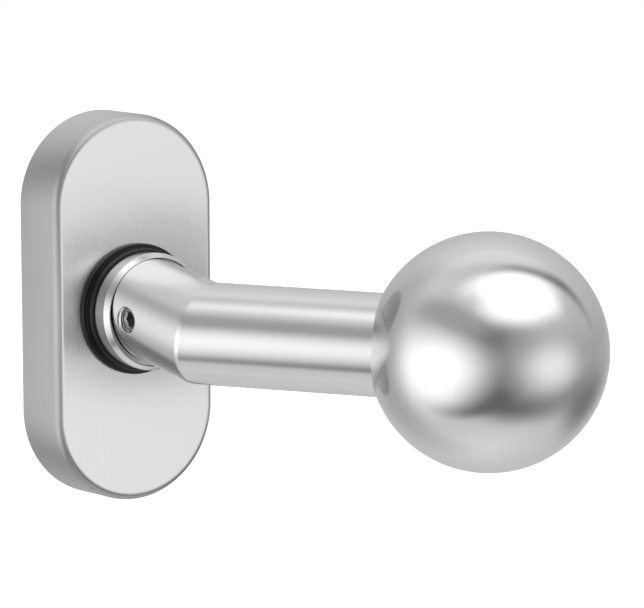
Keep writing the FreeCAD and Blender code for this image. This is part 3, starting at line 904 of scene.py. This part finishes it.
def make_spring(name, node, sign):
    """A coil with closed ends between the driver's lug and the wall of its channel."""
    low, high = extent(node)
    wire = 0.3
    mean = 1.4
    turns = 8.5
    closed = 0.9
    samples = 420
    near, far = sorted((abs(low[0]), abs(high[0])))
    inner = near + wire
    outer = far - wire
    middle_out = -(low[1] + high[1]) / 2
    middle_z = (low[2] + high[2]) / 2
    centres = []
    for i in range(samples + 1):
        turn = turns * i / samples
        share = min(max(turn - closed, 0.0), turns - 2 * closed) / (turns - 2 * closed)
        ends = min(turn, closed) - max(turn - turns + closed, 0.0)
        x = inner + (outer - inner - 2 * wire) * share + wire * ends / closed
        angle = 2 * math.pi * turn
        y = -(middle_out + mean * math.cos(angle))
        centres.append([sign * x, y, middle_z + mean * math.sin(angle)])
    centres = np.array(centres)
    tangents = np.gradient(centres, axis=0)
    section = np.linspace(0, 2 * math.pi, 14, endpoint=False)
    rows = []
    for point, tangent in zip(centres, tangents):
        tangent = unit(tangent)
        spoke = point - np.array([point[0], -middle_out, middle_z])
        first = unit(spoke - tangent * (spoke @ tangent))
        second = np.cross(tangent, first)
        rows.append(point + wire * (np.outer(np.cos(section), first) + np.outer(np.sin(section), second)))
    return skin(name, rows, strips(run_lengths(centres), len(section)), centres[0], centres[-1])


# ---- pieces --------------------------------------------------------------------------------------
# the cover's faces that don't look out of the door get the darker copy of its steel: painted shade
finish_piece(make_cover(), "rose", "rose_cover", face_steel, wall_steel_painted_shade)
finish_piece(make_bush(), "rose", "bearing_bush", black_acetal)
finish_piece(make_collar(), "knob", "bearing_collar", collar_steel)
finish_piece(make_neck(), "knob", "neck", turned_steel)
finish_piece(make_arm(), "knob", "arm", turned_steel)
finish_piece(make_ball(), "knob", "ball", ball_steel)
finish_piece(make_grub_screw(), "knob", "grub_screw", screw_steel)
for label, height in (("upper", 25.0), ("lower", -25.0)):
    screw = make_fixing_screw("fixing_screw_" + label, height)
    finish_piece(screw, "rose", "fixing_screws", plated_steel)
for label, x, z in (("a", -9.5, 18.0), ("b", 9.5, 18.0), ("c", -9.5, -18.0), ("d", 9.5, -18.0)):
    screw = make_plate_screw("plate_screw_" + label, x, z)
    finish_piece(screw, "rose", "back_plate_screws", plated_steel)
for side, sign in (("left", -1), ("right", 1)):
    node = "return_spring_" + side
    spring = make_spring("spring_" + side, node, sign)
    finish_piece(spring, "rose", node, spring_steel)
    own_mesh(spring)

kept_nodes = {
    "base_plate": cast_zinc, "back_plate": plated_steel, "cover_clips": spring_steel,
    "journal_bearing": bearing_acetal, "thrust_washer": bearing_acetal, "stop_pins": screw_steel,
    "driver_plate": plated_steel, "wave_washer": spring_steel, "retaining_ring": spring_steel,
    "ball_insert": screw_steel, "ball_stud": screw_steel,
}
for node, material in kept_nodes.items():
    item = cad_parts[node]
    if not item.material_slots:
        item.data.materials.append(material)
    for holder in item.material_slots:
        holder.material = material


# ---- floor, light and camera ---------------------------------------------------------------------
def linear(level):
    """Light from a display level between 0 and 255."""
    value = level / 255
    return value / 12.92 if value <= 0.04045 else ((value + 0.055) / 1.055) ** 2.4


def make_floor():
    """A plain pale floor well below the knob, which the light tent hides in reflections."""
    mesh = bpy.data.meshes.new("floor")
    half = 60.0
    height = -0.12
    corners = [(half * a, half * b, height) for a, b in ((-1, -1), (1, -1), (1, 1), (-1, 1))]
    mesh.from_pydata(corners, [], [(0, 1, 2, 3)])
    floor = bpy.data.objects.new("floor", mesh)
    bpy.context.scene.collection.objects.link(floor)
    floor.visible_glossy = False
    material = bpy.data.materials.new("pale_floor")
    material.use_nodes = True
    shader = material.node_tree.nodes["Principled BSDF"]
    shader.inputs["Base Color"].default_value = grey(0.9)
    shader.inputs["Roughness"].default_value = 0.9
    shader.inputs["Emission Color"].default_value = grey(1.0)
    shader.inputs["Emission Strength"].default_value = 0.35
    mesh.materials.append(material)


def make_light():
    """A light tent with soft boxes and dark panels, as oval areas of the sky and the ground.

    Azimuth 0 is in front of the door and grows towards +X. Each panel is (azimuth, elevation,
    half width, half height, tilt, softness of its edge, level), in degrees and display levels.
    The levels are those that the steel shows, so they are divided by its reflectance. The
    stops are (elevation, level) of the tent behind the panels. The camera sees plain white.

    Most of these numbers are the rounded result of a least-squares fit to the reflections on
    the ball in the photo, not a light set designed by hand, so they aren't an example to copy."""
    reflectance = 0.66
    stops = [(-90, 212), (-60, 196), (-35, 180), (0, 162), (25, 183), (50, 201), (90, 190)]
    panels = [
        (-61, -6, 56, 28, -50, 0.6, 102),
        (-57, 13, 40, 16, 21, 1.0, 80),
        (-63, -46, 34, 8, 7, 0.7, 86),
        (-38, -39, 68, 11, -24, 1.0, 97),
        (82, -27, 23, 13, 12, 0.8, 117),
        (-92, -10, 43, 30, 5, 0.7, 268),
        (-160, -6, 22, 46, 0, 0.9, 162),
        (22, -7, 23, 15, 0, 0.8, 230),
        (10, 57, 33, 24, -4, 0.4, 275),
        (11, 67, 34, 14, -43, 0.5, 270),
        (-84, 38, 32, 9, -6, 0.7, 155),
        (79, 49, 5, 27, 1, 1.0, 88),
        (132, 67, 29, 11, 18, 0.5, 213),
    ]
    world = bpy.data.worlds.new("light_tent")
    world.use_nodes = True
    bpy.context.scene.world = world
    graph = Graph(world.node_tree)
    heading = graph.add("ShaderNodeTexCoord").outputs["Generated"]
    height = graph.add("ShaderNodeSeparateXYZ", {0: heading}).outputs[2]
    degrees = 180 / math.pi
    elevation = graph.math("MULTIPLY", graph.math("ARCSINE", height), degrees)
    base = graph.add("ShaderNodeValToRGB", {"Fac": graph.ramp(elevation, -90, 90)})
    ramp = base.color_ramp
    while len(ramp.elements) < len(stops):
        ramp.elements.new(0.5)
    for element, (at, level) in zip(ramp.elements, stops):
        element.position = (at + 90) / 180
        element.color = grey(linear(level) / reflectance)
    colour = base.outputs[0]

    def along(axis):
        inputs = {0: heading, 1: tuple(axis)}
        return graph.add("ShaderNodeVectorMath", inputs, operation="DOT_PRODUCT").outputs["Value"]

    for turn, lift, wide, high, tilt, soft, level in panels:
        turn, lift, tilt = math.radians(turn), math.radians(lift), math.radians(tilt)
        centre = Vector((math.cos(lift) * math.sin(turn), -math.cos(lift) * math.cos(turn), math.sin(lift)))
        right = Vector((math.cos(turn), math.sin(turn), 0.0))
        up = right.cross(centre) * -1
        across = right * math.cos(tilt) + up * math.sin(tilt)
        upright = up * math.cos(tilt) - right * math.sin(tilt)
        sideways = graph.math("ARCTAN2", along(across), along(centre))
        vertical = graph.math("ARCSINE", along(upright))
        sideways = graph.math("POWER", graph.math("MULTIPLY", sideways, degrees / wide), 2.0)
        vertical = graph.math("POWER", graph.math("MULTIPLY", vertical, degrees / high), 2.0)
        reach = graph.math("SQRT", graph.math("ADD", sideways, vertical))
        share = graph.ramp(reach, 1 - soft, 1 + soft, 1.0, 0.0, True)
        colour = graph.blend(share, colour, grey(linear(level) / reflectance))
    seen = graph.add("ShaderNodeLightPath").outputs["Is Camera Ray"]
    lit = graph.add("ShaderNodeBackground", {"Color": colour, "Strength": 1.0})
    plain = graph.add("ShaderNodeBackground", {"Color": grey(1.0), "Strength": 1.0})
    shown = graph.add("ShaderNodeMixShader", {0: seen, 1: lit, 2: plain})
    graph.add("ShaderNodeOutputWorld", {"Surface": shown})


def make_camera():
    """A long lens from the front left, a little above the knob.

    Its lens, place and aim are the rounded result of a fit to the outlines in the photo."""
    camera = bpy.data.cameras.new("camera")
    camera.lens = 141.0
    camera.sensor_width = 36.0
    camera.clip_start = 0.01
    camera.clip_end = 200.0
    holder = bpy.data.objects.new("camera", camera)
    holder.location = (-0.2381, -0.3911, 0.0550)
    target = Vector((0.0267, -0.0313, 0.0008))
    holder.rotation_mode = "QUATERNION"
    holder.rotation_quaternion = (target - holder.location).to_track_quat("-Z", "Y")
    bpy.context.scene.collection.objects.link(holder)
    bpy.context.scene.camera = holder


make_floor()
make_light()
make_camera()
bpy.context.scene.view_settings.view_transform = "Standard"
bpy.context.view_layer.update()
